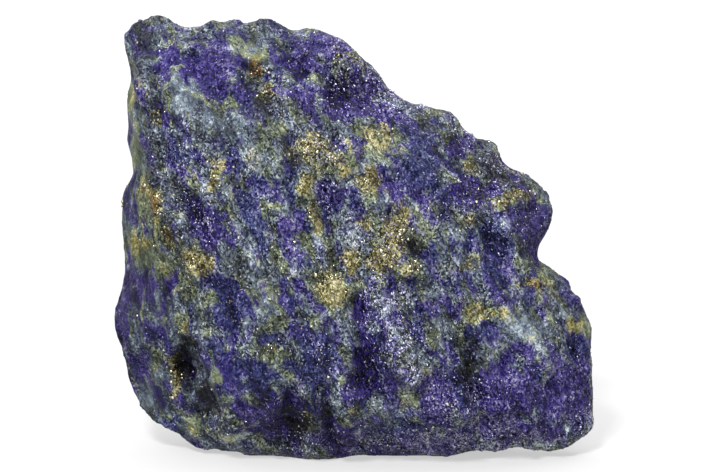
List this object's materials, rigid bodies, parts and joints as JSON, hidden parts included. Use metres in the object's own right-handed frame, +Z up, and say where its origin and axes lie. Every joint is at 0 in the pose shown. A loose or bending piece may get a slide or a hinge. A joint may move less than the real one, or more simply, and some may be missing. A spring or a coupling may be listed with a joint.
{
  "type": "rough lazurite stone",
  "caption": "Rough broken lump of lazurite rock (lapis lazuli), wedge-shaped from the side, standing upright on a small flat spot.",
  "frame": {"origin": "under the middle of the stone's width and depth, at the level it stands on", "axes": "+X across the broad face, to the right as seen from the front; +Y from the front to the back; +Z up"},
  "size_m": [0.0702, 0.0378, 0.0632],
  "materials": {
    "lazurite_rock": "freshly broken, fine-grained, matt with small glints"
  },
  "bodies": {
    "root": {"lazurite_stone": "lazurite_rock"}
  },
  "joints": []
}
